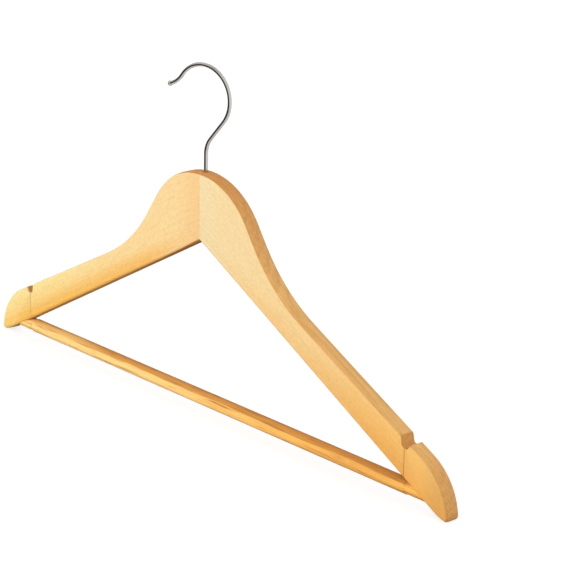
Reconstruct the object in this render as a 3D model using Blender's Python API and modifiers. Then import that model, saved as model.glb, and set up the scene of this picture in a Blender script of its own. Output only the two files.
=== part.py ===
"""Wooden clothes hanger: two arms glued at the neck, a round trouser bar and a swivel hook.

Metres, +Z up. X runs along the hanger's width and -Y is its front.
The origin is where the rail touches the inside of the hook, straight above the shank.
"""
import math

import bmesh
import bpy
from mathutils import Vector

# Overall sizes
HANGER_WIDTH = 0.445
ARM_THICKNESS = 0.0105
HOOK_RISE = 0.0658          # neck top to the rail seat
NECK_HEIGHT = 0.0439        # neck top to the peak of the underside, at the seam

# Outline of an arm: a crown at the neck, a steep flank, a hollow waist, a straight shoulder, a foot
CROWN_RADIUS = 0.0542
FLANK_SLOPE = math.radians(55.5)
FLANK_LENGTH = 0.0153
WAIST_RADIUS = 0.1164
SHOULDER_SLOPE = math.radians(26.5)
FOOT_RADIUS = 0.0393
FOOT_CORNER = 0.0024
FOOT_LIFT = 0.003           # lowest point of a foot above the underside's line run on to its end
TOE_RADIUS = 0.032
UNDERSIDE_SLOPE = math.radians(28.1)
EDGE_ROUND = 0.0021

# Comb joint between the two arms
FINGER_LENGTH = 0.010
FINGER_ROOT = 0.0022
FINGER_TIP = 0.0014
FINGER_SPACING = 0.004
GLUE_GAP = 0.0003

# Strap notch, and the fine line scored below it
NOTCH_INSET = 0.0358        # from the hanger's end
NOTCH_FLOOR = 0.0045
NOTCH_DEPTH = 0.0057
NOTCH_WALL = math.radians(24)
NOTCH_TILT = math.radians(13)
NOTCH_CORNER = 0.0019
NOTCH_LIP = 0.0020          # rounding of the lip on the neck's side
SCORE_WIDTH = 0.0008

# Trouser bar: full diameter between the scored lines, turned down where it enters the arms
BAR_DIAMETER = 0.0096
BAR_LIFT = 0.0097           # bar's centre above the lowest point of a foot
SPIGOT_DIAMETER = 0.0088
BAR_END_WALL = 0.0105       # wood left beyond the bar's end
BAR_CHAMFER = 0.0004
FIT_GAP = 0.0003

# Hook of round wire, turned a little out of the hanger's plane
WIRE_DIAMETER = 0.0025
HOOK_TURN = math.radians(11.5)
HOOK_RADIUS = 0.0207        # to the wire's centre
HOOK_OFFSET = -0.0023       # crook's centre, sideways from the shank
CROOK_LEAN = math.radians(50)
SHANK_BEND = 0.015
CROOK_END = math.radians(144)
TIP_BEND = 0.018
TIP_TURN = math.radians(34)
TIP_RUN = 0.0017
BUTTON_DIAMETER = 0.0036    # headed on the tip
BUTTON_THICKNESS = 0.0019

# What holds the hook under the neck
WASHER_DIAMETER = 0.007
WASHER_THICKNESS = 0.0008
COUNTERBORE_DEPTH = 0.0045  # above the peak of the underside
HEAD_DIAMETER = 0.0044
HEAD_HEIGHT = 0.0014

# Brads that pin the bar
NAIL_INSET = 0.013          # from the bar's end
NAIL_DIAMETER = 0.0012
NAIL_LENGTH = 0.018
NAIL_POINT = 0.0016
NAIL_HEAD_DIAMETER = 0.0024
NAIL_HEAD_HEIGHT = 0.0006

ARC_STEP = math.radians(3)
WIRE_STEP = math.radians(5)
TURNED_STEPS = 48
BEYOND = 0.02               # how far a cutter runs past what it cuts

NECK_TOP = -HOOK_RISE
NECK_PEAK = NECK_TOP - NECK_HEIGHT
FOOT_BOTTOM = NECK_PEAK - HANGER_WIDTH / 2 * math.tan(UNDERSIDE_SLOPE) + FOOT_LIFT
NOTCH_X = HANGER_WIDTH / 2 - NOTCH_INSET
BAR_Z = FOOT_BOTTOM + BAR_LIFT
BAR_LENGTH = HANGER_WIDTH - 2 * BAR_END_WALL
NAIL_X = BAR_LENGTH / 2 - NAIL_INSET
WASHER_SEAT = NECK_PEAK + COUNTERBORE_DEPTH
WASHER_TOP = WASHER_SEAT - FIT_GAP
HEAD_TOP = WASHER_TOP - WASHER_THICKNESS - FIT_GAP
BORE_DIAMETER = WIRE_DIAMETER + 2 * FIT_GAP

PART_COLLECTION = "wooden_clothes_hanger"
CUTTER_COLLECTION = "cutters"


def clear_scene():
    for item in list(bpy.data.objects):
        bpy.data.objects.remove(item, do_unlink=True)


def make_collection(name):
    collection = bpy.data.collections.new(name)
    bpy.context.scene.collection.children.link(collection)
    return collection


def make_material(name, color, roughness, metallic=0.0):
    material = bpy.data.materials.new(name)
    material.use_nodes = True
    shader = material.node_tree.nodes["Principled BSDF"]
    shader.inputs["Base Color"].default_value = (*color, 1.0)
    shader.inputs["Roughness"].default_value = roughness
    shader.inputs["Metallic"].default_value = metallic
    return material


def arc(centre, radius, start, end, step=ARC_STEP):
    """Points round a centre from one angle to another, both ends included."""
    count = max(2, math.ceil(abs(end - start) / step))
    angles = [start + (end - start) * i / count for i in range(count + 1)]
    return [centre + radius * Vector((math.cos(a), math.sin(a))) for a in angles]


def without_repeats(points):
    kept = points[:1]
    for point in points[1:]:
        if (point - kept[-1]).length > 1e-6:
            kept.append(point)
    return kept


def make_curve(name, points, closed):
    curve = bpy.data.curves.new(name, "CURVE")
    spline = curve.splines.new("POLY")
    spline.points.add(len(points) - 1)
    for spot, point in zip(spline.points, points):
        spot.co = (*point, 1.0) if len(point) == 3 else (*point, 0.0, 1.0)
    spline.use_cyclic_u = closed
    item = bpy.data.objects.new(name, curve)
    bpy.context.scene.collection.objects.link(item)
    return item


def mesh_from_curve(curve_item, collection):
    """A closed mesh object with the curve's shape and place, in place of the curve."""
    bpy.context.view_layer.update()
    graph = bpy.context.evaluated_depsgraph_get()
    mesh = bpy.data.meshes.new_from_object(curve_item.evaluated_get(graph))
    shape = bmesh.new()
    shape.from_mesh(mesh)
    bmesh.ops.remove_doubles(shape, verts=shape.verts, dist=1e-6)
    bmesh.ops.recalc_face_normals(shape, faces=shape.faces)
    shape.to_mesh(mesh)
    shape.free()
    name = curve_item.name
    place = curve_item.matrix_world.copy()
    bpy.data.objects.remove(curve_item, do_unlink=True)
    item = bpy.data.objects.new(name, mesh)
    item.matrix_world = place
    collection.objects.link(item)
    return item


def make_plate(name, points, thickness, collection, edge_round=0.0, upright=True):
    """A flat outline with thickness; upright, it stands in the XZ plane."""
    item = make_curve(name, points, closed=True)
    item.data.dimensions = "2D"
    item.data.fill_mode = "BOTH"
    item.data.extrude = thickness / 2 - edge_round
    item.data.bevel_depth = edge_round
    item.data.offset = -edge_round
    item.data.bevel_resolution = 3
    if upright:
        item.rotation_euler.x = math.pi / 2
    return mesh_from_curve(item, collection)


def make_turned(name, profile, collection):
    """A body turned about Z from (radius, height) points that run from top to bottom."""
    mesh = bpy.data.meshes.new(name)
    shape = bmesh.new()
    verts = [shape.verts.new((radius, 0.0, height)) for radius, height in profile]
    for upper, lower in zip(verts, verts[1:]):
        shape.edges.new((upper, lower))
    shape.to_mesh(mesh)
    shape.free()
    item = bpy.data.objects.new(name, mesh)
    collection.objects.link(item)
    screw = item.modifiers.new("turn", "SCREW")
    screw.steps = TURNED_STEPS
    screw.render_steps = TURNED_STEPS
    screw.use_merge_vertices = True
    screw.merge_threshold = 1e-5
    return item


def make_rod_cutter(name, diameter, start, end, collection):
    """A round cutter from one point to another."""
    run = Vector(end) - Vector(start)
    bpy.ops.mesh.primitive_cylinder_add(vertices=TURNED_STEPS, radius=diameter / 2, depth=run.length)
    item = bpy.context.object
    item.name = name
    item.location = (Vector(start) + Vector(end)) / 2
    item.rotation_euler = run.to_track_quat("Z", "Y").to_euler()
    move_to(item, collection)
    return item


def move_to(item, collection):
    for holder in list(item.users_collection):
        holder.objects.unlink(item)
    collection.objects.link(item)


def combine(target, tool, operation):
    modifier = target.modifiers.new(tool.name, "BOOLEAN")
    modifier.operation = operation
    modifier.solver = "EXACT"
    modifier.object = tool


def shade_round(item, angle=35):
    item.data.shade_smooth()
    item.data.set_sharp_from_angle(angle=math.radians(angle))


def underside_at(x):
    return NECK_PEAK - abs(x) * math.tan(UNDERSIDE_SLOPE)


def half_outline():
    """Right half of the blank in (x, z), from the top of the seam round to its underside."""
    crown_centre = Vector((0.0, NECK_TOP - CROWN_RADIUS))
    points = arc(crown_centre, CROWN_RADIUS, math.pi / 2, math.pi / 2 - FLANK_SLOPE)
    flank = Vector((math.cos(FLANK_SLOPE), -math.sin(FLANK_SLOPE)))
    flank_end = points[-1] + FLANK_LENGTH * flank
    waist_centre = flank_end + WAIST_RADIUS * Vector((math.sin(FLANK_SLOPE), math.cos(FLANK_SLOPE)))
    points += arc(waist_centre, WAIST_RADIUS, -math.pi / 2 - FLANK_SLOPE, -math.pi / 2 - SHOULDER_SLOPE)
    shoulder = Vector((math.cos(SHOULDER_SLOPE), -math.sin(SHOULDER_SLOPE)))
    shoulder_up = Vector((math.sin(SHOULDER_SLOPE), math.cos(SHOULDER_SLOPE)))
    corner_centre = Vector((HANGER_WIDTH / 2 - FOOT_CORNER, FOOT_BOTTOM + FOOT_CORNER))
    # The foot's arc runs on from the shoulder and touches the corner's arc from outside
    reach = points[-1] - FOOT_RADIUS * shoulder_up - corner_centre
    across = reach.dot(shoulder)
    spare = reach.length_squared - (FOOT_RADIUS - FOOT_CORNER) ** 2
    run = -across - math.sqrt(across ** 2 - spare)
    foot_centre = corner_centre + reach + run * shoulder
    to_corner = corner_centre - foot_centre
    meeting = math.atan2(to_corner.y, to_corner.x)
    points += arc(foot_centre, FOOT_RADIUS, math.pi / 2 - SHOULDER_SLOPE, meeting)
    # The toe's arc eases the underside into the corner
    peak = Vector((0.0, NECK_PEAK))
    underside = Vector((math.cos(UNDERSIDE_SLOPE), -math.sin(UNDERSIDE_SLOPE)))
    underside_up = Vector((math.sin(UNDERSIDE_SLOPE), math.cos(UNDERSIDE_SLOPE)))
    to_peak = corner_centre - peak
    ease = math.sqrt((TOE_RADIUS - FOOT_CORNER) ** 2 - (TOE_RADIUS - to_peak.dot(underside_up)) ** 2)
    toe_centre = peak + (to_peak.dot(underside) - ease) * underside + TOE_RADIUS * underside_up
    from_toe = corner_centre - toe_centre
    toe_meeting = math.atan2(from_toe.y, from_toe.x)
    points += arc(corner_centre, FOOT_CORNER, meeting, toe_meeting, 2 * ARC_STEP)
    points += arc(toe_centre, TOE_RADIUS, toe_meeting, -math.pi / 2 - UNDERSIDE_SLOPE)
    points.append(peak)
    return points


def make_blank(cutters):
    """Both arms as one rounded blank, before the comb joint parts them."""
    half = half_outline()
    mirrored = [Vector((-point.x, point.y)) for point in reversed(half[1:-1])]
    blank = make_plate("arm_blank", without_repeats(half + mirrored), ARM_THICKNESS, cutters, EDGE_ROUND)
    shade_round(blank)
    return blank


def make_comb(name, growth, cutters):
    """The right arm's side of the seam with its fingers, seen from above and grown all round."""
    far_x = HANGER_WIDTH
    far_y = ARM_THICKNESS
    outline = [(far_x, -far_y), (far_x, far_y), (-growth, far_y)]
    for side in (1, -1):
        centre = side * FINGER_SPACING / 2
        root = FINGER_ROOT / 2 + growth
        tip = FINGER_TIP / 2 + growth
        outline += [(-growth, centre + root), (-FINGER_LENGTH - growth, centre + tip)]
        outline += [(-FINGER_LENGTH - growth, centre - tip), (-growth, centre - root)]
    outline.append((-growth, -far_y))
    comb = make_plate(name, [Vector(point) for point in outline], HANGER_WIDTH, cutters, upright=False)
    comb.location.z = NECK_PEAK
    return comb


def notch_lip():
    """Arc that rounds the shoulder down into the notch, in the slot's own tilted plane."""
    lean = SHOULDER_SLOPE - NOTCH_TILT
    shoulder_up = Vector((math.sin(lean), math.cos(lean)))
    into_wood = Vector((-math.cos(NOTCH_WALL), -math.sin(NOTCH_WALL)))
    shoulder_point = NOTCH_DEPTH * Vector((-math.sin(NOTCH_TILT), math.cos(NOTCH_TILT)))
    wall_point = Vector((-NOTCH_FLOOR / 2, 0.0))
    from_wall = wall_point.dot(into_wood) + NOTCH_LIP
    from_shoulder = shoulder_point.dot(shoulder_up) - NOTCH_LIP
    spread = into_wood.cross(shoulder_up)
    centre_x = (from_wall * shoulder_up.y - from_shoulder * into_wood.y) / spread
    centre_y = (from_shoulder * into_wood.x - from_wall * shoulder_up.x) / spread
    centre = Vector((centre_x, centre_y))
    return arc(centre, NOTCH_LIP, math.pi / 2 - lean - 2 * ARC_STEP, NOTCH_WALL, 5 * ARC_STEP)


def make_notch_cutter(side, cutters):
    """A tapered slot with rounded floor corners, tilted part of the way to the shoulder's slope."""
    height = NOTCH_DEPTH + BEYOND
    half_floor = NOTCH_FLOOR / 2
    half_mouth = half_floor + height * math.tan(NOTCH_WALL)
    inset = NOTCH_CORNER * math.tan((math.pi / 2 - NOTCH_WALL) / 2)
    corner = Vector((half_floor - inset, NOTCH_CORNER))
    footward = arc(corner, NOTCH_CORNER, -math.pi / 2, -NOTCH_WALL, 6 * ARC_STEP)
    neckward = [Vector((-point.x, point.y)) for point in reversed(footward)]
    lip = notch_lip()
    points = footward + [Vector((half_mouth, height)), Vector((lip[0].x, height))] + lip + neckward
    points = [Vector((side * point.x, point.y)) for point in points]
    cutter = make_plate(f"notch_{side:+d}", points, ARM_THICKNESS + BEYOND, cutters)
    cutter.location = (side * NOTCH_X, 0.0, shoulder_at(NOTCH_X) - NOTCH_DEPTH)
    cutter.rotation_euler.y = side * NOTCH_TILT
    return cutter


def shoulder_at(x):
    """Height of the straight shoulder above a place along the arm."""
    crown_drop = CROWN_RADIUS * (1 - math.cos(FLANK_SLOPE))
    waist_drop = WAIST_RADIUS * (math.cos(SHOULDER_SLOPE) - math.cos(FLANK_SLOPE))
    start_z = NECK_TOP - crown_drop - FLANK_LENGTH * math.sin(FLANK_SLOPE) - waist_drop
    crown_run = CROWN_RADIUS * math.sin(FLANK_SLOPE)
    waist_run = WAIST_RADIUS * (math.sin(FLANK_SLOPE) - math.sin(SHOULDER_SLOPE))
    start_x = crown_run + FLANK_LENGTH * math.cos(FLANK_SLOPE) + waist_run
    return start_z - (x - start_x) * math.tan(SHOULDER_SLOPE)


def make_score_cutter(side, face, cutters):
    """A square bar on edge, half sunk in the face, from the notch's floor down past the arm."""
    top = shoulder_at(NOTCH_X) - NOTCH_DEPTH / 2
    bottom = underside_at(NOTCH_X) - BEYOND / 2
    bpy.ops.mesh.primitive_cube_add(size=1.0)
    item = bpy.context.object
    item.name = f"score_{side:+d}_{face:+d}"
    edge = SCORE_WIDTH / math.sqrt(2)
    item.scale = (edge, edge, top - bottom)
    item.rotation_euler.z = math.pi / 4
    item.location = (side * NOTCH_X, face * ARM_THICKNESS / 2, (top + bottom) / 2)
    move_to(item, cutters)
    return item


def make_arms(parts, cutters, wood):
    blank = make_blank(cutters)
    wider_comb = make_comb("comb_socket", GLUE_GAP / 2, cutters)
    comb = make_comb("comb_fingers", -GLUE_GAP / 2, cutters)
    above = (0.0, 0.0, NECK_TOP + BEYOND)
    below = (0.0, 0.0, NECK_PEAK - BEYOND)
    seat = (0.0, 0.0, WASHER_SEAT)
    shank_bore = make_rod_cutter("shank_bore", BORE_DIAMETER, above, below, cutters)
    counterbore = make_rod_cutter("counterbore", WASHER_DIAMETER + 2 * FIT_GAP, seat, below, cutters)
    arms = []
    for name, side in (("left_arm", -1), ("right_arm", 1)):
        arm = bpy.data.objects.new(name, blank.data.copy())
        arm.matrix_world = blank.matrix_world.copy()
        arm.data.materials.append(wood)
        parts.objects.link(arm)
        if side < 0:
            combine(arm, wider_comb, "DIFFERENCE")
        else:
            combine(arm, comb, "INTERSECT")
        combine(arm, shank_bore, "DIFFERENCE")
        combine(arm, counterbore, "DIFFERENCE")
        combine(arm, make_notch_cutter(side, cutters), "DIFFERENCE")
        for face in (-1, 1):
            combine(arm, make_score_cutter(side, face, cutters), "DIFFERENCE")
        bar_start = (side * NOTCH_X, 0.0, BAR_Z)
        bar_end = (side * (BAR_LENGTH / 2 + FIT_GAP), 0.0, BAR_Z)
        bar_bore = make_rod_cutter(f"bar_bore_{side:+d}", SPIGOT_DIAMETER + 2 * FIT_GAP, bar_start, bar_end, cutters)
        combine(arm, bar_bore, "DIFFERENCE")
        combine(arm, make_nail_cutter(side, cutters), "DIFFERENCE")
        arms.append(arm)
    bpy.data.objects.remove(blank, do_unlink=True)
    return arms


def nail_bottom():
    """The nail head lies level with the underside of the bar's turned end."""
    return BAR_Z - SPIGOT_DIAMETER / 2 + NAIL_HEAD_HEIGHT


def make_nail_cutter(side, cutters):
    bottom = (side * NAIL_X, 0.0, nail_bottom() - BEYOND / 2)
    top = (side * NAIL_X, 0.0, nail_bottom() + NAIL_LENGTH + FIT_GAP)
    return make_rod_cutter(f"nail_bore_{side:+d}", NAIL_DIAMETER + 2 * FIT_GAP, bottom, top, cutters)


def make_nail_head_cutter(side, cutters):
    bottom = (side * NAIL_X, 0.0, nail_bottom() - BEYOND / 2)
    top = (side * NAIL_X, 0.0, nail_bottom() + NAIL_HEAD_HEIGHT + FIT_GAP)
    return make_rod_cutter(f"nail_head_bore_{side:+d}", NAIL_HEAD_DIAMETER + 2 * FIT_GAP, bottom, top, cutters)


def make_trouser_bar(parts, cutters, wood):
    end = BAR_LENGTH / 2
    spigot = SPIGOT_DIAMETER / 2
    full = BAR_DIAMETER / 2
    half = [(0.0, end), (spigot - BAR_CHAMFER, end), (spigot, end - BAR_CHAMFER), (spigot, NOTCH_X)]
    half += [(full - BAR_CHAMFER / 2, NOTCH_X), (full, NOTCH_X - BAR_CHAMFER)]
    profile = half + [(radius, -height) for radius, height in reversed(half)]
    bar = make_turned("trouser_bar", profile, parts)
    bar.data.materials.append(wood)
    bar.rotation_euler.y = math.pi / 2
    bar.location.z = BAR_Z
    for side in (-1, 1):
        combine(bar, make_nail_cutter(side, cutters), "DIFFERENCE")
        combine(bar, make_nail_head_cutter(side, cutters), "DIFFERENCE")
    return bar


def make_nails(parts, steel):
    shaft = NAIL_DIAMETER / 2
    head = NAIL_HEAD_DIAMETER / 2
    for name, side in (("left_bar_nail", -1), ("right_bar_nail", 1)):
        profile = [(0.0, NAIL_LENGTH), (shaft, NAIL_LENGTH - NAIL_POINT), (shaft, NAIL_HEAD_HEIGHT)]
        profile += [(head, NAIL_HEAD_HEIGHT), (head, 0.0), (0.0, 0.0)]
        nail = make_turned(name, profile, parts)
        nail.data.materials.append(steel)
        nail.location = (side * NAIL_X, 0.0, nail_bottom())


def make_washer(parts, steel):
    outer = WASHER_DIAMETER / 2
    inner = BORE_DIAMETER / 2
    bevel = WASHER_THICKNESS / 6
    top = WASHER_TOP
    bottom = top - WASHER_THICKNESS
    profile = [(inner, top), (outer - bevel, top), (outer, top - bevel), (outer, bottom + bevel)]
    profile += [(outer - bevel, bottom), (inner, bottom), (inner, top)]
    washer = make_turned("hook_washer", profile, parts)
    washer.data.materials.append(steel)
    return washer


def hook_path():
    """The wire's centre line in the hook's own plane, from the headed end up to the tip."""
    crook_centre = Vector((HOOK_OFFSET, -math.sqrt((HOOK_RADIUS - WIRE_DIAMETER / 2) ** 2 - HOOK_OFFSET ** 2)))
    crook = arc(crook_centre, HOOK_RADIUS, CROOK_LEAN - math.pi / 2, CROOK_END, WIRE_STEP)
    # The bend leaves the shank at x = 0 and its straight run meets the crook along a tangent
    bend_run = SHANK_BEND * (1 - math.sin(CROOK_LEAN))
    bend_rise = SHANK_BEND * math.cos(CROOK_LEAN)
    straight_rise = (crook[0].x - bend_run) * math.tan(CROOK_LEAN)
    bend_centre = Vector((SHANK_BEND, crook[0].y - straight_rise - bend_rise))
    bend = arc(bend_centre, SHANK_BEND, math.pi, math.pi / 2 + CROOK_LEAN, WIRE_STEP)
    outwards = Vector((math.cos(CROOK_END), math.sin(CROOK_END)))
    tip_centre = crook_centre + (HOOK_RADIUS + TIP_BEND) * outwards
    flare = arc(tip_centre, TIP_BEND, CROOK_END - math.pi, CROOK_END - math.pi - TIP_TURN, WIRE_STEP)
    heading = CROOK_END + math.pi / 2 - TIP_TURN
    tip = flare[-1] + TIP_RUN * Vector((math.cos(heading), math.sin(heading)))
    foot = Vector((0.0, HEAD_TOP - HEAD_HEIGHT / 2))
    return without_repeats([foot] + bend + crook + flare + [tip])


def make_hook(parts, cutters, chrome):
    """One bent wire with a round button headed on its tip and a flat dome headed on its lower end."""
    path = hook_path()
    wire = make_curve("hook", [Vector((point.x, 0.0, point.y)) for point in path], closed=False)
    wire.data.dimensions = "3D"
    wire.data.bevel_depth = WIRE_DIAMETER / 2
    wire.data.bevel_resolution = 3
    wire.data.use_fill_caps = True
    wire.rotation_euler.z = HOOK_TURN
    hook = mesh_from_curve(wire, parts)
    shade_round(hook)
    hook.data.materials.append(chrome)
    tip = path[-1]
    heading = tip - path[-2]
    bpy.ops.mesh.primitive_uv_sphere_add(segments=24, ring_count=14, radius=BUTTON_DIAMETER / 2)
    button = bpy.context.object
    button.name = "hook_button"
    button.data.shade_smooth()
    button.scale.z = BUTTON_THICKNESS / BUTTON_DIAMETER
    along = Vector((heading.x * math.cos(HOOK_TURN), heading.x * math.sin(HOOK_TURN), heading.y))
    button.rotation_euler = along.to_track_quat("Z", "Y").to_euler()
    button.location = (tip.x * math.cos(HOOK_TURN), tip.x * math.sin(HOOK_TURN), tip.y)
    move_to(button, cutters)
    combine(hook, button, "UNION")
    wide = HEAD_DIAMETER / 2
    profile = [(0.0, HEAD_TOP), (wide, HEAD_TOP), (wide, HEAD_TOP - HEAD_HEIGHT / 2)]
    profile += [(wide * 0.72, HEAD_TOP - HEAD_HEIGHT * 0.88), (0.0, HEAD_TOP - HEAD_HEIGHT)]
    head = make_turned("hook_head", profile, cutters)
    combine(hook, head, "UNION")
    return hook


def hide_cutters(cutters):
    for item in cutters.objects:
        item.hide_render = True
        item.display_type = "WIRE"


def main():
    clear_scene()
    parts = make_collection(PART_COLLECTION)
    cutters = make_collection(CUTTER_COLLECTION)
    pale_wood = make_material("pale_wood", (0.80, 0.57, 0.27), 0.35)
    golden_wood = make_material("golden_wood", (0.66, 0.34, 0.10), 0.32)
    bright_wire = make_material("bright_wire", (0.62, 0.62, 0.62), 0.16, 1.0)
    plain_steel = make_material("plain_steel", (0.42, 0.41, 0.40), 0.35, 1.0)
    make_arms(parts, cutters, pale_wood)
    make_trouser_bar(parts, cutters, golden_wood)
    make_hook(parts, cutters, bright_wire)
    make_washer(parts, plain_steel)
    make_nails(parts, plain_steel)
    hide_cutters(cutters)


if __name__ == "__main__":
    main()
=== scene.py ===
"""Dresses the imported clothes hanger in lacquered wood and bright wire, and sets its studio.

Metres, +Z up. X runs along the hanger's width and -Y is its front.
"""
import math

import bmesh
import bpy
from mathutils import Matrix, Vector


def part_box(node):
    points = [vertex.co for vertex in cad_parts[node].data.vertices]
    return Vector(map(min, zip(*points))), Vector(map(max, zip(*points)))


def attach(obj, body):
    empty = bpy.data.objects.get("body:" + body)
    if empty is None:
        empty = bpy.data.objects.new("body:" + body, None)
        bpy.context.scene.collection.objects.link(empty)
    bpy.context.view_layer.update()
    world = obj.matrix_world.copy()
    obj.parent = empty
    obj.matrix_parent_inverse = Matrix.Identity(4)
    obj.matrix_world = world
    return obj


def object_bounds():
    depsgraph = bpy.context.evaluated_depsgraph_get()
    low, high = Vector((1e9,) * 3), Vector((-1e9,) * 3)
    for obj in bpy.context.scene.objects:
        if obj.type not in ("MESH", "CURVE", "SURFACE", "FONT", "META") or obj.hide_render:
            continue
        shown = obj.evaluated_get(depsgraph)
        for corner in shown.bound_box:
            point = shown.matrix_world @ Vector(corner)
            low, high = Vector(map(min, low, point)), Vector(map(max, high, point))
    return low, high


bl_info = {
    "name": "Wooden clothes hanger",
    "version": (1, 0, 0),
    "blender": (4, 5, 0),
    "location": "3D Viewport > Sidebar > Hanger",
    "description": "Finishes and studio for a wooden clothes hanger with a trouser bar and a swivel hook",
    "category": "Object",
}

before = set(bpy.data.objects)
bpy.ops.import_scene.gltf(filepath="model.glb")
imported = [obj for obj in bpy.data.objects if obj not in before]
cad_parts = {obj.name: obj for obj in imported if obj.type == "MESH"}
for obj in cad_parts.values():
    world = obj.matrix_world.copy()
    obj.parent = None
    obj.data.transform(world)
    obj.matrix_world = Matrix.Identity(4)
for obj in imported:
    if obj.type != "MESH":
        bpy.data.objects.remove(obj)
CAD_LOW, CAD_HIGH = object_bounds()
ARM_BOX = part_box("right_arm")
BAR_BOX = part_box("trouser_bar")

MILLIMETRES = 1000.0

# Shape of the arms, as the solids have it
ARM_HALF = (ARM_BOX[1][1] - ARM_BOX[0][1]) / 2
EDGE_ROUND = 0.0021
NECK_TOP = -0.0658
CROWN_RADIUS = 0.0542
UNDERSIDE_PEAK = -0.1097
UNDERSIDE_SLOPE = math.radians(28.1)
WASHER_SEAT = UNDERSIDE_PEAK + 0.0045
SEAT_RADIUS = 0.0039
BAR_HEIGHT = (BAR_BOX[0][2] + BAR_BOX[1][2]) / 2

# Comb joint: its fingers' length, their widths at root and tip, and the distance between them
FINGER_LENGTH = 0.010
FINGER_ROOT = 0.0022
FINGER_TIP = 0.0014
FINGER_SPACING = 0.004

# Glue line: where it ends beside the bore, its distance from the surfaces, and its longest step
GLUE_END = 0.002
GLUE_INSET = 0.00003
GLUE_STEP = 0.0002

# Smooth shading of the solids
CRISP_ANGLE = math.radians(50)
WELD_REACH = 0.000001

# The two arms, as signs of X
LEFT = -1
RIGHT = 1

# Scale of each noise along the grain and across it, per millimetre of wood
DRIFT_GRAIN = (0.010, 0.06, 0.06)
WAVER_GRAIN = (0.05, 0.35, 0.35)
FINE_GRAIN = (0.10, 3.2, 3.2)
BROAD_GRAIN = (0.03, 0.8, 0.8)
PORE_GRAIN = (0.35, 2.6, 2.6)
FLECK_GRAIN = (0.45, 1.1, 1.1)
CLOUD_GRAIN = (0.02, 0.05, 0.05)
STREAK_GRAIN = (0.018, 0.28, 0.28)
KNOT_GRAIN = (0.016, 0.10, 0.10)

# Scale of each noise on metal and glue, per metre
WIRE_MOTTLE = (900.0, 900.0, 900.0)
WIRE_SCUFFS = (2600.0, 2600.0, 160.0)
STEEL_MOTTLE = (1400.0, 1400.0, 1400.0)
STEEL_MARKS = (500.0, 5200.0, 900.0)
GLUE_BLOTCHES = (420.0, 420.0, 420.0)

# Growth rings: the pith's place across the grain and the rings' waviness, in millimetres
ARM_PITH = (-46.0, 34.0)
ARM_WOBBLE = 9.0
ARM_FIGURE_SHIFT = (37.0, 11.0, 5.0)
BAR_PITH = (8.0, -5.0)
BAR_WOBBLE = 4.5
WAVER_SHARE = 0.25

# Where late wood darkens within a ring and where the ring ends, as shares of its width
LATE_WOOD = (0.25, 0.88)
RING_END = (0.92, 1.0)

# Where pores, knots and the bar's broad streaks start and end, as levels of their noise
PORE_EDGE = (0.08, 0.24)
KNOT_EDGE = (0.03, 0.10)
STREAK_EDGE = (0.49, 0.70)

# Even share of the streaks' colour in the wood, before its figure is added
ARM_SHADE = 0.06
BAR_SHADE = -0.14

# Colour along an arm from the seam: where each change starts and where it is complete
JOINT_BAND = (0.003, 0.026)
FACE_BAND = (0.02, 0.2)
UPPER_ALONG = (0.07, 0.15)
LOWER_SHADE_ALONG = (0.0, 0.06)
FOOT_BAND = (0.195, 0.21)
TOE_SHADE_BAND = (0.198, 0.216)
CROWN_BAND = (0.01, 0.084)
FOOT_EDGE_BAND = (0.200, 0.213)
FACE_CLOUD = 0.06

# Height above an arm's underside where its face is paler and where it is deeper, and the face's tints; the
# deeper tint along the underside and the grey at the right toe are painted shade
UPPER_BAND = (0.012, 0.028)
LOWER_SHADE_BAND = (0.002, 0.0155)
UPPER_TINT = (1.0, 1.13, 1.36)
LOWER_SHADE_TINT = (1.0, 0.76, 0.42)
TOE_SHADE_TINT = (0.84, 0.83, 0.86)
LOWER_SHADE_STRENGTH = {LEFT: 1.0, RIGHT: 0.4}
TOE_SHADE_STRENGTH = {LEFT: 0.0, RIGHT: 1.0}

# Rim between an arm's edges and faces, where painted shade darkens the rounding, and where the left arm's
# pale rim, painted light, turns into the right arm's dark one, painted shade
RIM_SOFTNESS = 0.00018
RIM_SHADE_DEPTH = 0.0020
SEAM_BLEND = (-0.04, 0.0)

# Stain in an arm's notch and on its foot's cut end, and painted shade in its scored lines: the first of each
# pair is where it is full, the second where it ends
SCORE_BAND = (0.0003, 0.0007)
SCORE_DEPTH = (0.0005, 0.0009)
NOTCH_STAIN = (0.0009, 0.0002)
END_STAIN = (0.003, 0.007)
END_CLOUD = 0.004
SCORE_SHADE_STRENGTH = {LEFT: 0.25, RIGHT: 0.55}
SCORE_CLOUD = 0.3
NOTCH_STRENGTH = 0.68
END_STRENGTH = 0.45

# Height from the underside's peak where an arm's lacquer starts and where it is whole
LACQUER_BAND = (-0.0002, 0.0012)

# Painted light and shade on the bar, in millimetres along it from its middle and up from its axis: paler to
# the left, browner along its upper side and towards its lower right
BAR_RIGHTWARD = (-120.0, 150.0)
BAR_TOP_ALONG = (-150.0, -90.0)
BAR_LOW_ALONG = (30.0, 130.0)
BAR_TOP_BAND = (2.3, 3.3)
BAR_TOP_STREAKS = 3.5
BAR_LOW_START = -4.3
BAR_LOW_END = -1.6
BAR_LOW_RISE = 3.0

# Where a rail rubs the crook, from the place where it rests
SEAT_SIDE = (0.004, 0.014)
SEAT_TOP = (0.0002, 0.0016)
SEAT_BOTTOM = (-0.012, -0.001)

# Lamps, from the hanger: azimuth from the front towards its right, height, and spread
KEY_AZIMUTH = math.radians(-16)
KEY_HEIGHT = math.radians(4)
SIDE_AZIMUTH = math.radians(90)
SIDE_HEIGHT = math.radians(22)
BACK_AZIMUTH = math.radians(188)
BACK_HEIGHT = math.radians(50)
SOFT_SPREAD = math.radians(40)
BACK_SPREAD = math.radians(12)

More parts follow.
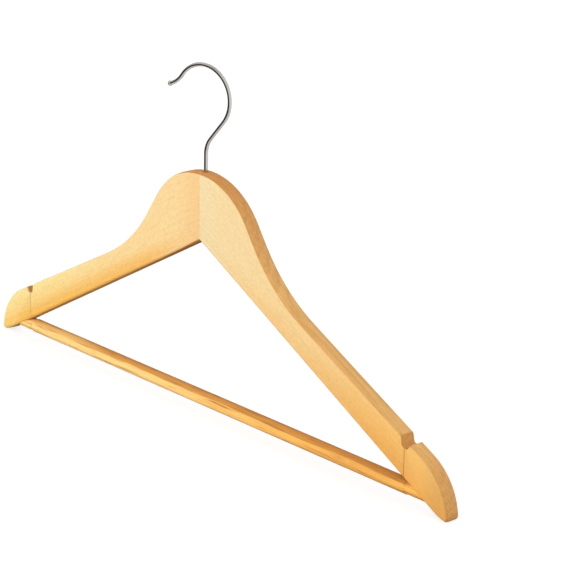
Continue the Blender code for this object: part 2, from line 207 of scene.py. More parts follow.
# Dark curtain that bright metal mirrors, a painted reflection that only glossy rays see, with a paler opening
# above it: its direction, where it starts and is full, and its darkness
CURTAIN_AZIMUTH = math.radians(-62)
CURTAIN_HEIGHT = math.radians(12)
SKY_CURTAIN = (-0.35, 0.45)
SKY_OPENING = (0.1, 0.5)
SKY_DARKNESS = 0.9
OPENING_LIGHT = 0.7
FLOOR_CURTAIN = (-0.35, 0.2)
FLOOR_POOL = (0.12, 0.35)
FLOOR_DARKNESS = 0.95

# Floor and camera
FLOOR_SIZE = 40.0
FLOOR_GAP = 0.0002
FLOOR_GLOW = 0.78
WHITE = (1.0, 1.0, 1.0, 1.0)
BLACK = (0.0, 0.0, 0.0, 1.0)
SENSOR_WIDTH = 36.0
NEAREST = 0.05
FARTHEST = 100.0


class Field:
    """A shader socket that takes part in sums: each operator adds one Math node."""

    def __init__(self, graph, socket):
        self.graph = graph
        self.socket = socket

    def math(self, operation, *values):
        return self.graph.node("ShaderNodeMath", {"operation": operation}, dict(enumerate(values)))

    def __add__(self, other):
        return self.math("ADD", self, other)

    def __radd__(self, other):
        return self.math("ADD", other, self)

    def __sub__(self, other):
        return self.math("SUBTRACT", self, other)

    def __rsub__(self, other):
        return self.math("SUBTRACT", other, self)

    def __mul__(self, other):
        return self.math("MULTIPLY", self, other)

    def __truediv__(self, other):
        return self.math("DIVIDE", self, other)

    def __pow__(self, other):
        return self.math("POWER", self, other)

    def __mod__(self, other):
        return self.math("FLOORED_MODULO", self, other)

    def __abs__(self):
        return self.math("ABSOLUTE", self)


class Graph:
    """The nodes of one material, world or modifier."""

    def __init__(self, tree):
        self.tree = tree
        self.tree.nodes.clear()

    @classmethod
    def of(cls, owner):
        """The nodes of a material or a world."""
        owner.use_nodes = True
        return cls(owner.node_tree)

    def node(self, kind, settings=None, sockets=None, output=0):
        """Adds a node: its settings first, then its sockets' values or links. Gives one output."""
        node = self.tree.nodes.new(kind)
        for name, value in (settings or {}).items():
            setattr(node, name, value)
        for name, value in (sockets or {}).items():
            if isinstance(value, Field):
                self.tree.links.new(value.socket, node.inputs[name])
            else:
                node.inputs[name].default_value = value
        return Field(self, node.outputs[output]) if len(node.outputs) else None

    def place(self):
        return self.node("ShaderNodeTexCoord", output="Object")

    def ray(self, kind):
        """1 for one kind of ray of light, else 0."""
        return self.node("ShaderNodeLightPath", output=kind)

    def split(self, place):
        """A place's three coordinates."""
        node = self.tree.nodes.new("ShaderNodeSeparateXYZ")
        self.tree.links.new(place.socket, node.inputs[0])
        return [Field(self, output) for output in node.outputs]

    def mapped(self, place, scale, turn=(0.0, 0.0, 0.0), shift=(0.0, 0.0, 0.0)):
        """Places scaled, turned and moved, in that order."""
        sockets = {"Vector": place, "Scale": scale, "Rotation": turn, "Location": shift}
        return self.node("ShaderNodeMapping", {}, sockets)

    def noise(self, place, scale, shift=(0.0, 0.0, 0.0), detail=2.0, roughness=0.5):
        """Soft noise round 0.5, with its own scale along each axis."""
        scaled = self.mapped(place, scale, shift=shift)
        sockets = {"Vector": scaled, "Scale": 1.0, "Detail": detail, "Roughness": roughness}
        return self.node("ShaderNodeTexNoise", {}, sockets)

    def cells(self, place, scale, shift=(0.0, 0.0, 0.0)):
        """Distance from the nearest of many scattered points."""
        sockets = {"Vector": self.mapped(place, scale, shift=shift), "Scale": 1.0}
        return self.node("ShaderNodeTexVoronoi", {}, sockets, "Distance")

    def vector_math(self, operation, *values):
        """A number worked out from vectors."""
        sockets = dict(enumerate(values))
        return self.node("ShaderNodeVectorMath", {"operation": operation}, sockets, "Value")

    def ease(self, value, start, end):
        """A smooth step from 0 at one value to 1 at another."""
        sockets = {"Value": value, "From Min": start, "From Max": end}
        return self.node("ShaderNodeMapRange", {"interpolation_type": "SMOOTHSTEP"}, sockets)

    def clamp(self, value):
        """A value kept from 0 to 1."""
        return self.node("ShaderNodeClamp", {}, {"Value": value})

    def mix(self, factor, first, second, blend="MIX"):
        settings = {"data_type": "RGBA", "blend_type": blend}
        sockets = {0: factor, 6: as_color(first), 7: as_color(second)}
        return self.node("ShaderNodeMix", settings, sockets, 2)

    def bump(self, height, distance, strength):
        sockets = {"Height": height, "Distance": distance, "Strength": strength}
        return self.node("ShaderNodeBump", {}, sockets)

    def principled(self, sockets):
        surface = self.node("ShaderNodeBsdfPrincipled", {}, sockets)
        self.node("ShaderNodeOutputMaterial", {}, {"Surface": surface})


def as_color(value):
    return value if isinstance(value, Field) else (*value, 1.0)


def color_property(name, description, default):
    return bpy.props.FloatVectorProperty(
        name=name, description=description, default=default, size=3, subtype="COLOR", min=0.0, max=1.0)


def length_property(name, description, default):
    return bpy.props.FloatProperty(
        name=name, description=description, default=default, min=0.0, unit="LENGTH", precision=5)


def angle_property(name, description, degrees):
    return bpy.props.FloatProperty(
        name=name, description=description, default=math.radians(degrees), subtype="ANGLE")


def strength_property(name, description, default):
    return bpy.props.FloatProperty(name=name, description=description, default=default)


class ArmSettings(bpy.types.PropertyGroup):
    left_joint_color: color_property("Left at the seam", "Left face beside the seam", (0.93, 0.615, 0.285))
    left_color: color_property("Left neck", "Left face on the neck", (0.94, 0.68, 0.33))
    left_foot_color: color_property("Left foot", "Left face towards the foot", (0.96, 0.70, 0.265))
    right_joint_color: color_property("Right at the seam", "Right face beside the seam", (0.90, 0.715, 0.405))
    right_color: color_property("Right neck", "Right face on the neck", (0.91, 0.70, 0.37))
    # Right foot: the wood's deeper orange, darkened partly as painted shade
    right_foot_color: color_property("Right foot", "Right face towards the foot", (0.87, 0.468, 0.121))
    # Edge: the edges' tan is darker than the faces partly as painted shade
    edge_color: color_property("Edge", "Rounded edges, where the lacquer is darker", (0.92, 0.52, 0.18))
    crown_color: color_property("Crown's edge", "Browner edge over the neck", (0.76, 0.34, 0.10))
    # Rim: painted shade on the rounding beside each face
    rim_color: color_property("Rim", "Rounded rim between an edge and a face", (0.50, 0.22, 0.05))
    end_color: color_property("End grain", "Cut ends of the fibres in a notch", (0.66, 0.31, 0.085))
    streak_color: color_property("Streaks", "Late wood and pores", (0.42, 0.19, 0.05))
    ring_width: length_property("Ring width", "From one growth ring to the next", 0.0034)
    grain_slope: angle_property("Grain slope", "How far the grain falls towards the foot", 27)
    # The darker edge colour starts deeper behind the left face, as painted light on the left arm's rim, and
    # just behind the right face, as painted shade on the right arm's rim
    left_lit_band: length_property("Left rim", "Depth behind the face where the left edge starts", 0.0011)
    right_shaded_band: length_property("Right rim", "Depth behind the face where the right edge starts", 0.00026)
    notch_place: length_property("Notch place", "From the seam to the middle of a strap notch", 0.1867)
    notch_reach: length_property("Notch reach", "Half of a strap notch's width at its mouth", 0.0055)
    notch_mouth: bpy.props.FloatProperty(
        name="Notch mouth", description="Height of the shoulder above a strap notch", default=-0.1847,
        unit="LENGTH", precision=5)
    shoulder_slope: angle_property("Shoulder slope", "How steeply the shoulder falls", 26.5)


class BarSettings(bpy.types.PropertyGroup):
    light_color: color_property("Early wood", "Palest wood of the bar", (1.0, 0.66, 0.235))
    color: color_property("Wood", "Golden wood of the bar", (0.95, 0.49, 0.11))
    # Upper side: painted shade along the bar's upper side and towards its lower right
    top_shade_color: color_property("Upper side", "Browner wood along the bar's upper side", (0.66, 0.28, 0.06))
    dark_color: color_property("Late wood", "Dark streaks of the bar", (0.38, 0.13, 0.028))
    ring_width: length_property("Ring width", "From one growth ring to the next", 0.0026)


class GlueSettings(bpy.types.PropertyGroup):
    color: color_property("Glue", "Dried glue in the seam", (0.86, 0.58, 0.25))
    dark_color: color_property("Dark glue", "Where the glue lies thicker", (0.70, 0.40, 0.14))
    thickness: length_property("Thickness", "Thickness of the glue line", 0.00024)


class MetalSettings(bpy.types.PropertyGroup):
    wire_color: color_property("Wire", "Plated wire of the hook", (0.56, 0.54, 0.51))
    worn_color: color_property("Worn wire", "Plating rubbed by rails", (0.40, 0.37, 0.34))
    steel_color: color_property("Steel", "Washer and nails", (0.42, 0.41, 0.40))
    rust_color: color_property("Stain", "Dull stain on the washer and nails", (0.20, 0.13, 0.08))


class StageSettings(bpy.types.PropertyGroup):
    floor_color: color_property("Floor", "Pale floor as the lamps light it", (0.36, 0.36, 0.36))
    key_strength: strength_property("Key lamp", "Soft low lamp in front", 3.46)
    side_strength: strength_property("Side lamp", "Soft lamp to the right", 0.95)
    back_strength: strength_property("Back lamp", "Small lamp behind and above", 0.3)
    fill_strength: strength_property("Fill", "Light from all round", 0.50)
    azimuth: angle_property("Azimuth", "Camera's turn to the hanger's right", 48.338)
    elevation: angle_property("Elevation", "Camera's height above the horizon", 17.539)
    roll: angle_property("Roll", "Camera's turn about its own axis", 0.972)
    distance: length_property("Distance", "From the camera to the point it looks at", 1.3052)
    target: bpy.props.FloatVectorProperty(
        name="Target", description="Point the camera looks at", default=(0.04315, 0.02885, -0.13455),
        subtype="XYZ")
    lens: bpy.props.FloatProperty(
        name="Lens", description="Focal length on a 36 mm sensor", default=131.99, subtype="DISTANCE_CAMERA")


def round_shading():
    """Modifier nodes that shade round faces as one surface and keep true edges crisp."""
    tree = bpy.data.node_groups.new("round_shading", "GeometryNodeTree")
    tree.interface.new_socket("Mesh", in_out="INPUT", socket_type="NodeSocketGeometry")
    tree.interface.new_socket("Mesh", in_out="OUTPUT", socket_type="NodeSocketGeometry")
    graph = Graph(tree)
    mesh = graph.node("NodeGroupInput")
    angle = graph.node("GeometryNodeInputMeshEdgeAngle")
    crisp = graph.node("FunctionNodeCompare", {"operation": "GREATER_THAN"}, {0: angle, 1: CRISP_ANGLE})
    sockets = {"Mesh": mesh, "Edge Sharpness": crisp}
    shaded = graph.node("GeometryNodeSetMeshNormal", {"mode": "SHARPNESS"}, sockets)
    graph.node("NodeGroupOutput", {}, {0: shaded})
    return tree


def finish_node(name, material):
    """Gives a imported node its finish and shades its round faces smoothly."""
    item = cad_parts[name]
    for slot in item.material_slots:
        slot.material = material
    weld = item.modifiers.new("join_corners", "WELD")
    weld.merge_threshold = WELD_REACH
    shading = item.modifiers.new("round_shading", "NODES")
    shading.node_group = bpy.data.node_groups.get("round_shading") or round_shading()


def growth_rings(graph, board, pith, ring_width, wobble):
    """Late wood of the rings round a pith line along the grain; the board's places are in millimetres."""
    _, y, z = graph.split(board)
    drift = graph.noise(board, DRIFT_GRAIN, detail=3.0) - 0.5
    waver = graph.noise(board, WAVER_GRAIN, (7.0, 3.0, 1.0)) - 0.5
    from_pith = ((y - pith[0]) ** 2 + (z - pith[1]) ** 2) ** 0.5
    turns = (from_pith + drift * wobble + waver * wobble * WAVER_SHARE) / ring_width % 1.0
    return graph.ease(turns, *LATE_WOOD) * (1 - graph.ease(turns, *RING_END))


def fibres(graph, board):
    """Fine streaks along the grain, about a quarter of a millimetre wide, and broader ones."""
    fine = graph.noise(board, FINE_GRAIN, detail=3.0, roughness=0.6)
    broad = graph.noise(board, BROAD_GRAIN, (3.0, 5.0, 2.0), detail=3.0)
    return fine, broad


def pores(graph, board):
    """Short dark dashes along the grain."""
    return 1 - graph.ease(graph.cells(board, PORE_GRAIN), *PORE_EDGE)


def arm_edges(graph, x, y, settings):
    """1 on an arm's edges and 0 on its faces, and how near a place is to the rim between them, where painted
    shade falls.
    """
    # The left arm's edges start deeper, painted light on its rim; the right arm's edges start at once,
    # painted shade
    leftward = 1 - graph.ease(x, *SEAM_BLEND)
    off_face = ARM_HALF - settings.right_shaded_band - leftward * (settings.left_lit_band - settings.right_shaded_band)
    edge = 1 - graph.ease(abs(y), off_face - RIM_SOFTNESS, off_face + RIM_SOFTNESS)
    rim = graph.ease(abs(y), ARM_HALF - RIM_SHADE_DEPTH, off_face)
    return edge, rim


def arm_face_color(graph, side, along, z, cloud, colors):
    """An arm's face: its own colour by the seam and at the foot, the right foot's colour partly painted
    shade; paler at the top; deeper below and at the right toe in painted shade.
    """
    joint_color, neck_color, foot_color = colors
    footward = graph.ease(along + (cloud - 0.5) * FACE_CLOUD, *FACE_BAND)
    face = graph.mix(footward, neck_color, foot_color)
    face = graph.mix(1 - graph.ease(along, *JOINT_BAND), face, joint_color)
    above = z + along * math.tan(UNDERSIDE_SLOPE) - UNDERSIDE_PEAK
    upper = graph.ease(above, *UPPER_BAND) * graph.ease(along, *UPPER_ALONG)
    lower = (1 - graph.ease(above, *LOWER_SHADE_BAND)) * graph.ease(along, *LOWER_SHADE_ALONG)
    # Painted shade along the underside, stronger on the left arm
    lower = lower * LOWER_SHADE_STRENGTH[side] * (1 - graph.ease(along, *FOOT_BAND) * 0.4)
    # Painted shade on the right arm's toe
    toe_shade = graph.ease(along, *TOE_SHADE_BAND) * TOE_SHADE_STRENGTH[side]
    for amount, tint in ((upper, UPPER_TINT), (lower, LOWER_SHADE_TINT), (toe_shade, TOE_SHADE_TINT)):
        face = graph.mix(amount, face, tint, "MULTIPLY")
    return face


def arm_edge_color(graph, along, rim, settings):
    """An arm's edges, darker than the faces partly as painted shade: browner over the neck and round the
    foot, and darkest at the rim in painted shade.
    """
    brown = (1 - graph.ease(along, *CROWN_BAND)) + graph.ease(along, *FOOT_EDGE_BAND) * 0.45
    edging = graph.mix(brown, settings.edge_color, settings.crown_color)
    # Painted shade at the rim
    return graph.mix(rim * (0.42 + brown * 0.45), edging, settings.rim_color)


def notch_stain(graph, along, z, settings):
    """1 inside a strap notch."""
    level = z + (along - settings.notch_place) * math.tan(settings.shoulder_slope)
    full, none = [settings.notch_mouth - depth for depth in NOTCH_STAIN]
    from_middle = abs(along - settings.notch_place)
    by_notch = 1 - graph.ease(from_middle, settings.notch_reach * 0.9, settings.notch_reach)
    return (1 - graph.ease(level, full, none)) * by_notch


def score_shade(graph, along, y, settings):
    """1 in the line scored down both faces from a strap notch, where painted shade darkens the groove."""
    on_line = 1 - graph.ease(abs(along - settings.notch_place), *SCORE_BAND)
    full, none = [ARM_HALF - depth for depth in SCORE_DEPTH]
    return on_line * graph.ease(abs(y), none, full)


def arm_cut_color(graph, side, place, edge, cloud, base, settings):
    """Adds to an arm's colour the stain in its notch and on the foot's cut end, and painted shade in the
    scored line.
    """
    x, y, z = graph.split(place)
    along = abs(x)
    full, none = [CAD_LOW.z + height for height in END_STAIN]
    cut_end = 1 - graph.ease(z + (cloud - 0.5) * END_CLOUD, full, none)
    notched = notch_stain(graph, along, z, settings)
    scored = score_shade(graph, along, y, settings)
    base = graph.mix(edge * notched * NOTCH_STRENGTH, base, settings.end_color)
    base = graph.mix(edge * cut_end * END_STRENGTH, base, settings.end_color)
    # Painted shade in the scored line, stronger on the right arm
    return graph.mix(scored * (SCORE_SHADE_STRENGTH[side] + cloud * SCORE_CLOUD), base, settings.end_color)


def make_arm_wood(name, side, colors, settings):
    """Pale lacquered wood: faint rings and flecks on the faces, darker on the edges, partly as painted shade,
    and in the notch.
    """
    material = bpy.data.materials.new(name)
    graph = Graph.of(material)
    place = graph.place()
    x, y, z = graph.split(place)
    along = abs(x)
    turn = (0.0, -side * settings.grain_slope, 0.0)
    shift_along, shift_back, shift_up = ARM_FIGURE_SHIFT
    board = graph.mapped(place, (MILLIMETRES,) * 3, turn, (side * shift_along, shift_back, shift_up))
    cloud = graph.noise(board, CLOUD_GRAIN, (1.0, 9.0, 4.0))
    edge, rim = arm_edges(graph, x, y, settings)
    face = arm_face_color(graph, side, along, z, cloud, colors)
    base = graph.mix(edge, face, arm_edge_color(graph, along, rim, settings))
    base = arm_cut_color(graph, side, place, edge, cloud, base, settings)
    rings = growth_rings(graph, board, ARM_PITH, settings.ring_width * MILLIMETRES, ARM_WOBBLE)
    fine, broad = fibres(graph, board)
    dashes = pores(graph, board)
    flecks = graph.noise(board, FLECK_GRAIN, (4.0, 6.0, 1.0), roughness=0.55)
    shade = rings * (0.02 + edge * 0.14) + (flecks - 0.5) * 0.45 + (fine - 0.5) * 0.3 + dashes * 0.05
    shade = shade + (broad - 0.5) * (0.06 + edge * 0.8) + ARM_SHADE
    bare, whole = [UNDERSIDE_PEAK + height for height in LACQUER_BAND]
    lacquered = graph.ease(z + along * math.tan(settings.grain_slope), bare, whole)
    graph.principled({
        "Base Color": graph.mix(graph.clamp(shade), base, settings.streak_color),
        "Roughness": 0.42 + (fine - 0.5) * 0.16 + dashes * 0.10,
        "Specular IOR Level": 0.0,
        "Coat Weight": lacquered * (0.35 - edge * 0.12),
        "Coat Roughness": 0.25,
        "Coat IOR": 1.45,
        "Normal": graph.bump(fine * 0.4 + flecks * 0.3 - dashes * 0.4, 0.00005, 0.5),
    })
    return material


def bar_color(graph, board, streak, settings):
    """The bar's wood: paler to the left in painted light, and browner along its upper side and towards its
    lower right in painted shade.
    """
    x, _, z = graph.split(board)
    rightward = graph.ease(x, *BAR_RIGHTWARD)
    # Painted light: paler towards the left end, varied by the streaks
    pale = graph.clamp(1.15 - rightward * 1.3 + (streak - 0.5) * 2.2)
    base = graph.mix(pale, settings.color, settings.light_color)
    # Painted shade along the upper side
    upper = graph.ease(z + (streak - 0.5) * BAR_TOP_STREAKS, *BAR_TOP_BAND)
    upper = upper * (0.45 + graph.ease(x, *BAR_TOP_ALONG) * 0.5)
    base = graph.mix(upper, base, settings.top_shade_color)
    # Painted shade on the lower side towards the right
    low_shade_color = graph.mix(graph.ease(x, *BAR_LOW_ALONG) * 0.85, settings.color, settings.top_shade_color)
    low = 1 - graph.ease(z, BAR_LOW_START, rightward * BAR_LOW_RISE + BAR_LOW_END)
    return graph.mix(low * 0.9, base, low_shade_color)


def make_bar_wood(settings):
    """Golden lacquered wood with long dark streaks and a few small knots."""
    material = bpy.data.materials.new("bar_wood_golden")
    graph = Graph.of(material)
    shift = (0.0, 0.0, -BAR_HEIGHT * MILLIMETRES)
    board = graph.mapped(graph.place(), (MILLIMETRES,) * 3, shift=shift)
    rings = growth_rings(graph, board, BAR_PITH, settings.ring_width * MILLIMETRES, BAR_WOBBLE)
    fine, broad = fibres(graph, board)
    dashes = pores(graph, board)
    streak = graph.noise(board, STREAK_GRAIN, (5.0, 2.0, 8.0), detail=4.0, roughness=0.6)
    knots = 1 - graph.ease(graph.cells(board, KNOT_GRAIN, (2.3, 0.4, 0.9)), *KNOT_EDGE)
    base = bar_color(graph, board, streak, settings)
    shade = rings * 0.35 + graph.ease(broad, *STREAK_EDGE) * 0.55 + (fine - 0.5) * 1.1 + dashes * 0.3
    shade = shade + knots * 0.7 + BAR_SHADE
    graph.principled({
        "Base Color": graph.mix(graph.clamp(shade), base, settings.dark_color),
        "Roughness": 0.36 + (fine - 0.5) * 0.14 + dashes * 0.1,
        "Specular IOR Level": 0.0,
        "Coat Weight": 0.22,
        "Coat Roughness": 0.18,
        "Coat IOR": 1.45,
        "Normal": graph.bump(fine * 0.5 + broad * 0.3 - dashes * 0.6, 0.00006, 0.7),
    })
    return material


def make_plated_wire(settings):
    """Bright plating, a little duller in spots and where the crook rests on rails."""
    material = bpy.data.materials.new("plated_wire")
    graph = Graph.of(material)
    place = graph.place()
    x, _, z = graph.split(place)
    mottle = graph.noise(place, WIRE_MOTTLE, detail=3.0, roughness=0.6)
    scuffs = graph.noise(place, WIRE_SCUFFS)
    seat = (1 - graph.ease(abs(x), *SEAT_SIDE)) * (1 - graph.ease(z, *SEAT_TOP))
    seat = seat * graph.ease(z, *SEAT_BOTTOM)
    rubbed = graph.clamp(seat * 0.8 + graph.ease(mottle, 0.55, 0.8) * 0.3)
    graph.principled({
        "Base Color": graph.mix(rubbed, settings.wire_color, settings.worn_color),
        "Metallic": 1.0,
        "Roughness": 0.13 + rubbed * 0.16 + (scuffs - 0.5) * 0.08,
        "Normal": graph.bump(scuffs, 0.00001, 0.35),
    })
    return material


def make_plain_steel(settings):
    """Dull plated steel with a little stain."""
    material = bpy.data.materials.new("plain_steel")
    graph = Graph.of(material)
    place = graph.place()
    mottle = graph.noise(place, STEEL_MOTTLE, detail=4.0, roughness=0.6)
    marks = graph.noise(place, STEEL_MARKS)
    stain = graph.ease(mottle, 0.55, 0.78) * 0.6
    graph.principled({
        "Base Color": graph.mix(stain, settings.steel_color, settings.rust_color),
        "Metallic": 1.0 - stain * 0.4,
        "Roughness": 0.32 + mottle * 0.12 + (marks - 0.5) * 0.12,
        "Normal": graph.bump(marks, 0.00002, 0.5),
    })
    return material


def make_glue(settings):
    """Amber glue, darker where it lies thicker."""
    material = bpy.data.materials.new("dried_glue")
    graph = Graph.of(material)
    blotches = graph.noise(graph.place(), GLUE_BLOTCHES, detail=3.0, roughness=0.6)
    graph.principled({
        "Base Color": graph.mix(graph.ease(blotches, 0.4, 0.7), settings.color, settings.dark_color),
        "Roughness": 0.38 + (blotches - 0.5) * 0.1,
        "Coat Weight": 0.3,
        "Coat Roughness": 0.25,
        "Normal": graph.bump(blotches, 0.00003, 0.5),
    })
    return material


def edge_drop(y):
    """How far an arm's rounded edge has fallen at a place across its thickness."""
    inward = max(0.0, abs(y) - (ARM_HALF - EDGE_ROUND))
    return EDGE_ROUND - math.sqrt(EDGE_ROUND ** 2 - inward ** 2)


def glue_top(x, y):
    """Height of the glue line's upper border, just under the neck's crown."""
    sag = CROWN_RADIUS - math.sqrt(CROWN_RADIUS ** 2 - x ** 2)
    return NECK_TOP - sag - edge_drop(y) - GLUE_INSET


def glue_bottom(x, y):
    """Height of the glue line's lower border, above the underside or above the washer's seat."""
    if math.hypot(x, y) < SEAT_RADIUS:
        return WASHER_SEAT + GLUE_INSET
    return UNDERSIDE_PEAK + GLUE_INSET + edge_drop(y) - abs(x) * math.tan(UNDERSIDE_SLOPE)


def comb_route(face):
    """The seam seen from above, from the front, -1, or the back, 1, round that side's finger."""
    centre = FINGER_SPACING / 2
    width_at_end = FINGER_ROOT + (FINGER_TIP - FINGER_ROOT) * GLUE_END / FINGER_LENGTH
    turns = [
        (0.0, face * (ARM_HALF - GLUE_INSET)),
        (0.0, face * (centre + FINGER_ROOT / 2)),
        (-FINGER_LENGTH, face * (centre + FINGER_TIP / 2)),
        (-FINGER_LENGTH, face * (centre - FINGER_TIP / 2)),
        (-GLUE_END, face * (centre - width_at_end / 2)),
    ]
    route = []
    for start, end in zip(turns, turns[1:]):
        steps = math.ceil(math.dist(start, end) / GLUE_STEP)
        for step in range(steps):
            route.append(Vector(start).lerp(Vector(end), step / steps))
    route.append(Vector(turns[-1]))
    return route


def make_glue_line(settings):
    """A thin wall of dried glue that fills the comb joint's gap."""
    shape = bmesh.new()
    for face in (-1, 1):
        route = comb_route(face)
        lower = [shape.verts.new((x, y, glue_bottom(x, y))) for x, y in route]
        upper = [shape.verts.new((x, y, glue_top(x, y))) for x, y in route]
        for start in range(len(route) - 1):
            shape.faces.new((lower[start], lower[start + 1], upper[start + 1], upper[start]))
    mesh = bpy.data.meshes.new("glue_line")
    shape.to_mesh(mesh)
    shape.free()
    piece = bpy.data.objects.new("glue_line", mesh)
    bpy.context.scene.collection.objects.link(piece)
    wall = piece.modifiers.new("wall", "SOLIDIFY")
    wall.thickness = settings.thickness
    wall.offset = 0.0
    return piece


def direction_to(azimuth, height):
    """From the hanger towards an azimuth, 0 in front and positive to its right, and a height."""
    level = math.cos(height)
    return Vector((math.sin(azimuth) * level, -math.cos(azimuth) * level, math.sin(height)))


def make_floor_material(settings):
    """Pale floor that the camera sees as white; glossy rays see its left side black, a painted reflection
    that bright metal mirrors as dark.
    """
    material = bpy.data.materials.new("studio_floor")
    graph = Graph.of(material)
    mirrored = graph.ray("Is Glossy Ray")
    shown = graph.clamp(graph.ray("Is Camera Ray") + mirrored + graph.ray("Is Transmission Ray"))
    curtain_side = direction_to(CURTAIN_AZIMUTH, CURTAIN_HEIGHT)
    leftward = graph.vector_math("DOT_PRODUCT", graph.place(), curtain_side)
    from_hook = graph.vector_math("LENGTH", graph.place())
    curtain = mirrored * graph.ease(leftward, *FLOOR_CURTAIN)
    curtain = curtain * graph.ease(from_hook, *FLOOR_POOL) * FLOOR_DARKNESS
    matt = graph.node("ShaderNodeBsdfDiffuse", {}, {"Color": as_color(settings.floor_color)})
    glow = graph.node("ShaderNodeEmission", {}, {"Strength": shown * FLOOR_GLOW})
    both = graph.node("ShaderNodeAddShader", {}, {0: matt, 1: glow})
    dark = graph.node("ShaderNodeBsdfDiffuse", {}, {"Color": BLACK})
    surface = graph.node("ShaderNodeMixShader", {}, {0: curtain, 1: both, 2: dark})
    graph.node("ShaderNodeOutputMaterial", {}, {"Surface": surface})
    return material


def make_floor(settings):
    """A wide floor under the feet."""
    bpy.ops.mesh.primitive_plane_add(size=FLOOR_SIZE, location=(0.0, 0.0, CAD_LOW.z - FLOOR_GAP))
    floor = bpy.context.object
    floor.name = "floor"
    floor.data.materials.append(make_floor_material(settings))


def make_world(settings):
    """Soft light from all round; the camera sees white, and bright metal a dark curtain to its left, a
    painted reflection that only glossy rays see.
    """
    world = bpy.data.worlds.new("studio")
    bpy.context.scene.world = world
    graph = Graph.of(world)
    mirrored = graph.ray("Is Glossy Ray")
    shown = graph.clamp(graph.ray("Is Camera Ray") + graph.ray("Is Transmission Ray"))
    direction = graph.node("ShaderNodeTexCoord", output="Generated")
    curtain_side = direction_to(CURTAIN_AZIMUTH, CURTAIN_HEIGHT)
    facing = graph.vector_math("DOT_PRODUCT", direction, curtain_side)
    height = graph.split(direction)[2]
    opening = graph.ease(height, *SKY_OPENING) * OPENING_LIGHT
    curtain = graph.ease(facing, *SKY_CURTAIN) * (SKY_DARKNESS - opening)
    unseen = mirrored * (1 - curtain) + (1 - mirrored) * settings.fill_strength
    level = shown + (1 - shown) * unseen
    back = graph.node("ShaderNodeBackground", {}, {"Color": WHITE, "Strength": level})
    graph.node("ShaderNodeOutputWorld", {}, {"Surface": back})


def make_lamp(name, strength, spread, azimuth, height):
    """A far lamp in a given direction from the hanger, which bright metal doesn't mirror."""
    data = bpy.data.lights.new(name, "SUN")
    data.energy = strength
    data.angle = spread
    lamp = bpy.data.objects.new(name, data)
    lamp.visible_glossy = False
    bpy.context.scene.collection.objects.link(lamp)
    lamp.rotation_mode = "QUATERNION"
    lamp.rotation_quaternion = (-direction_to(azimuth, height)).to_track_quat("-Z", "Y")


def make_camera(settings):
    """The camera at the fitted place, turned about its own axis by its roll."""
    data = bpy.data.cameras.new("camera")
    camera = bpy.data.objects.new("camera", data)
    bpy.context.scene.collection.objects.link(camera)
    back = direction_to(settings.azimuth, settings.elevation)
    level = Vector((math.cos(settings.azimuth), math.sin(settings.azimuth), 0.0))
    upright = back.cross(level)
    right = math.cos(settings.roll) * level + math.sin(settings.roll) * upright
    top = math.cos(settings.roll) * upright - math.sin(settings.roll) * level
    turned = Matrix((right, top, back)).transposed().to_4x4()
    camera.matrix_world = Matrix.Translation(Vector(settings.target) + settings.distance * back) @ turned
    data.sensor_width = SENSOR_WIDTH
    data.lens = settings.lens
    data.clip_start = NEAREST
    data.clip_end = FARTHEST
    bpy.context.scene.camera = camera


class HANGER_OT_arms(bpy.types.Operator):
    """Gives both arms their pale lacquered wood"""
    bl_idname = "hanger.arms"
    bl_label = "Dress the arms"

    def execute(self, context):
        settings = context.scene.hanger_arms
        left_colors = (settings.left_joint_color, settings.left_color, settings.left_foot_color)
        right_colors = (settings.right_joint_color, settings.right_color, settings.right_foot_color)
        finish_node("left_arm", make_arm_wood("left_arm_wood", LEFT, left_colors, settings))
        finish_node("right_arm", make_arm_wood("right_arm_wood", RIGHT, right_colors, settings))
        return {"FINISHED"}


class HANGER_OT_glue_line(bpy.types.Operator):
    """Fills the comb joint with its thin glue line"""
    bl_idname = "hanger.glue_line"
    bl_label = "Fill the seam with glue"

    def execute(self, context):
        settings = context.scene.hanger_glue
        piece = make_glue_line(settings)
        piece.data.materials.append(make_glue(settings))
        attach(piece, "wooden_frame")
        return {"FINISHED"}


class HANGER_OT_trouser_bar(bpy.types.Operator):
    """Gives the trouser bar its golden lacquered wood"""
    bl_idname = "hanger.trouser_bar"
    bl_label = "Dress the trouser bar"

    def execute(self, context):
        finish_node("trouser_bar", make_bar_wood(context.scene.hanger_bar))
        return {"FINISHED"}


class HANGER_OT_hook(bpy.types.Operator):
    """Gives the hook its bright plating"""
    bl_idname = "hanger.hook"
    bl_label = "Dress the hook"

    def execute(self, context):
        finish_node("hook", make_plated_wire(context.scene.hanger_metal))
        return {"FINISHED"}


class HANGER_OT_fixings(bpy.types.Operator):
    """Gives the washer and the nails their plain steel"""
    bl_idname = "hanger.fixings"
    bl_label = "Dress the fixings"

    def execute(self, context):
        steel = make_plain_steel(context.scene.hanger_metal)
        for name in ("hook_washer", "left_bar_nail", "right_bar_nail"):
            finish_node(name, steel)
        return {"FINISHED"}


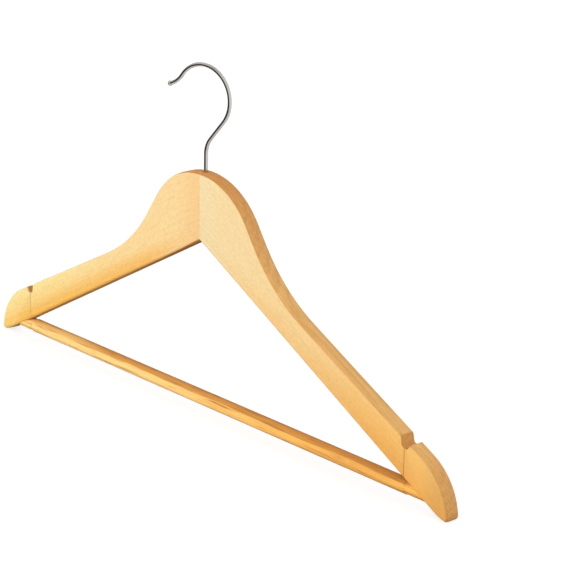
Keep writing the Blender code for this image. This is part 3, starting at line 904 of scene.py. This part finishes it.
class HANGER_OT_stage(bpy.types.Operator):
    """Sets the floor, the lamps, the white surroundings and the camera"""
    bl_idname = "hanger.stage"
    bl_label = "Set the studio"

    def execute(self, context):
        settings = context.scene.hanger_stage
        make_floor(settings)
        make_world(settings)
        make_lamp("key_lamp", settings.key_strength, SOFT_SPREAD, KEY_AZIMUTH, KEY_HEIGHT)
        make_lamp("side_lamp", settings.side_strength, SOFT_SPREAD, SIDE_AZIMUTH, SIDE_HEIGHT)
        make_lamp("back_lamp", settings.back_strength, BACK_SPREAD, BACK_AZIMUTH, BACK_HEIGHT)
        make_camera(settings)
        context.scene.view_settings.view_transform = "Standard"
        return {"FINISHED"}


GROUPS = {
    "hanger_arms": ArmSettings,
    "hanger_glue": GlueSettings,
    "hanger_bar": BarSettings,
    "hanger_metal": MetalSettings,
    "hanger_stage": StageSettings,
}
STEPS = [
    ("hanger_arms", [HANGER_OT_arms]),
    ("hanger_glue", [HANGER_OT_glue_line]),
    ("hanger_bar", [HANGER_OT_trouser_bar]),
    ("hanger_metal", [HANGER_OT_hook, HANGER_OT_fixings]),
    ("hanger_stage", [HANGER_OT_stage]),
]
OPERATORS = [operator for _, operators in STEPS for operator in operators]


class HANGER_PT_sidebar(bpy.types.Panel):
    """Lists the hanger's settings and the steps that dress it"""
    bl_idname = "HANGER_PT_sidebar"
    bl_label = "Clothes hanger"
    bl_space_type = "VIEW_3D"
    bl_region_type = "UI"
    bl_category = "Hanger"

    def draw(self, context):
        for group_name, operators in STEPS:
            box = self.layout.box()
            settings = getattr(context.scene, group_name)
            for name in settings.__annotations__:
                box.prop(settings, name)
            for operator in operators:
                box.operator(operator.bl_idname)


def register():
    for group_name, group in GROUPS.items():
        bpy.utils.register_class(group)
        setattr(bpy.types.Scene, group_name, bpy.props.PointerProperty(type=group))
    for operator in OPERATORS:
        bpy.utils.register_class(operator)
    bpy.utils.register_class(HANGER_PT_sidebar)


def unregister():
    bpy.utils.unregister_class(HANGER_PT_sidebar)
    for operator in reversed(OPERATORS):
        bpy.utils.unregister_class(operator)
    for group_name, group in reversed(GROUPS.items()):
        delattr(bpy.types.Scene, group_name)
        bpy.utils.unregister_class(group)


def main():
    register()
    bpy.ops.hanger.arms()
    bpy.ops.hanger.glue_line()
    bpy.ops.hanger.trouser_bar()
    bpy.ops.hanger.hook()
    bpy.ops.hanger.fixings()
    bpy.ops.hanger.stage()


if __name__ == "__main__":
    main()
